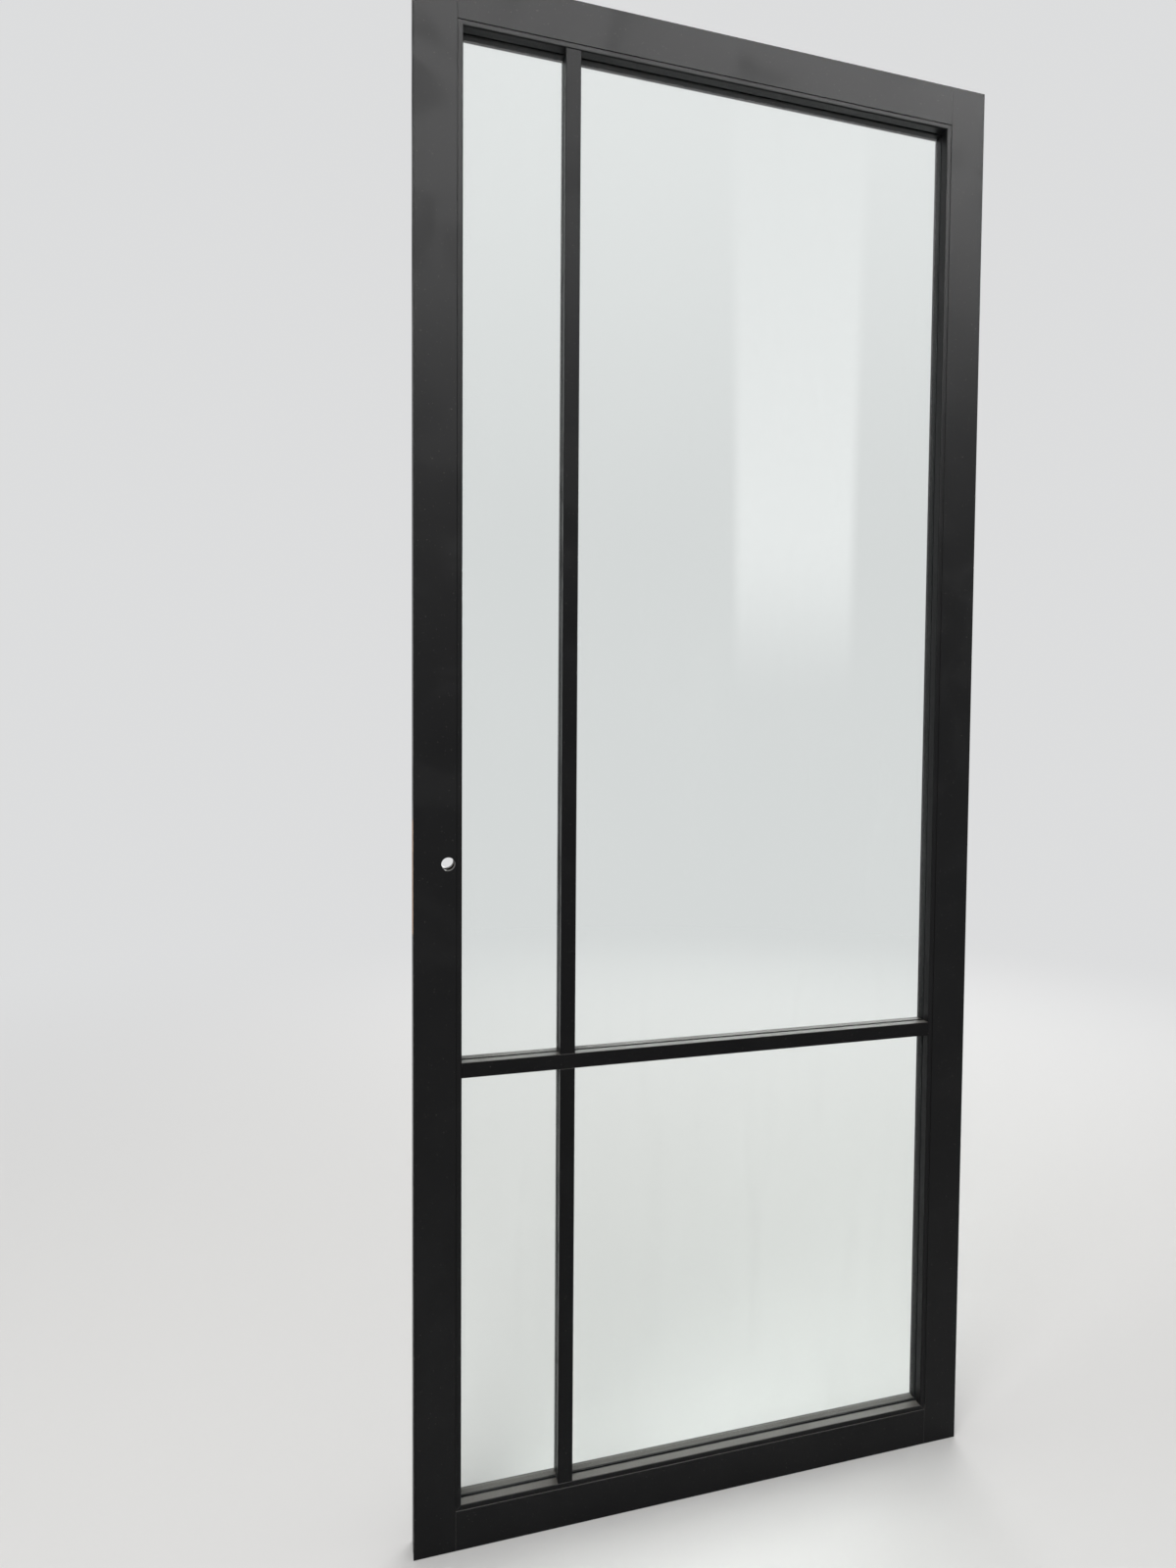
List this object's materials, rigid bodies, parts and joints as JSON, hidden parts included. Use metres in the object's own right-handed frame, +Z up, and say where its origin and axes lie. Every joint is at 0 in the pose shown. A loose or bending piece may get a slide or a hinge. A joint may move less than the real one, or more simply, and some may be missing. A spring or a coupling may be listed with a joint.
{
  "type": "glass door",
  "caption": "Tall interior door leaf glazed full height: slim black stiles and rails, one clear pane, off-centre glazing bars on both faces, bored for a handle spindle.",
  "frame": {"origin": "middle of the leaf's bottom edge, half way through its thickness", "axes": "+X to the right as seen from the front face, towards the hinge edge; +Y from the front face to the rear face; +Z up"},
  "size_m": [0.93, 0.04, 2.315],
  "materials": {
    "lacquered_frame": "black satin lacquer on board",
    "lacquered_bead": "black satin lacquer on board",
    "lacquered_bar": "black satin lacquer on board",
    "clear_glass": "clear float, polished",
    "glazing_tape": "matte closed-cell foam",
    "bar_tape": "matte closed-cell foam",
    "dowel_beech": "bare beech",
    "block_plastic": "moulded",
    "brad_steel": "bright wire"
  },
  "bodies": {
    "root": {"lock_stile": "lacquered_frame", "hinge_stile": "lacquered_frame", "top_rail": "lacquered_frame", "bottom_rail": "lacquered_frame", "glazing_bead_left": "lacquered_bead", "glazing_bead_right": "lacquered_bead", "glazing_bead_top": "lacquered_bead", "glazing_bead_bottom": "lacquered_bead", "front_cross_bar": "lacquered_bar", "front_upper_bar": "lacquered_bar", "front_lower_bar": "lacquered_bar", "rear_cross_bar": "lacquered_bar", "rear_upper_bar": "lacquered_bar", "rear_lower_bar": "lacquered_bar", "glass_pane": "clear_glass", "glazing_tape_front": "glazing_tape", "glazing_tape_rear": "glazing_tape", "front_cross_bar_tape": "bar_tape", "front_upper_bar_tape": "bar_tape", "front_lower_bar_tape": "bar_tape", "rear_cross_bar_tape": "bar_tape", "rear_upper_bar_tape": "bar_tape", "rear_lower_bar_tape": "bar_tape", "dowels_top_left": "dowel_beech", "dowels_top_right": "dowel_beech", "dowels_bottom_left": "dowel_beech", "dowels_bottom_right": "dowel_beech", "setting_blocks": "block_plastic", "location_blocks": "block_plastic", "bead_brads": "brad_steel"}
  },
  "joints": []
}
